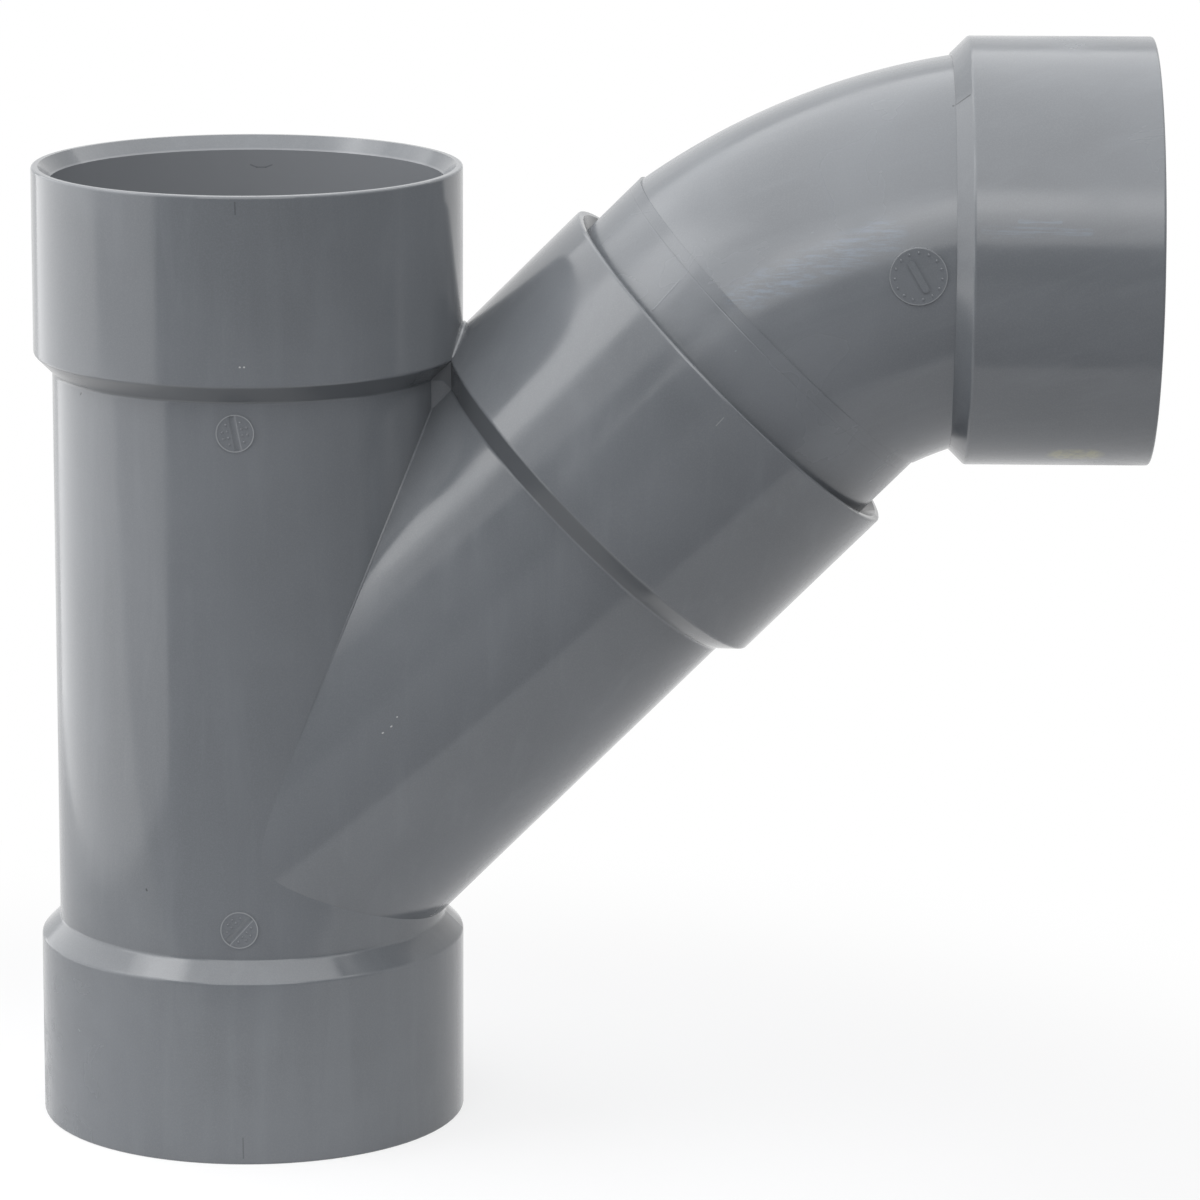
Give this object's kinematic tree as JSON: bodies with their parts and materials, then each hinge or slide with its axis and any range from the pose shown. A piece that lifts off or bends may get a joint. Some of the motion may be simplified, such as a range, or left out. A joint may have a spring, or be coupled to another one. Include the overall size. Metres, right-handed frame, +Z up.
{
  "type": "combination wye",
  "caption": "Drain pipe wye with hub sockets and a street elbow seated in its branch, so the branch leaves square to the straight run.",
  "frame": {"origin": "centre of the lower run mouth, in the plane of its lip", "axes": "+Z up along the run, +X along the branch outlet, the branch and elbow lie in the XZ plane"},
  "size_m": [0.4775, 0.1842, 0.4731],
  "materials": {
    "wye_plastic": "satin",
    "elbow_plastic": "satin"
  },
  "bodies": {
    "root": {"wye_body": "wye_plastic", "street_elbow": "elbow_plastic"}
  },
  "joints": []
}
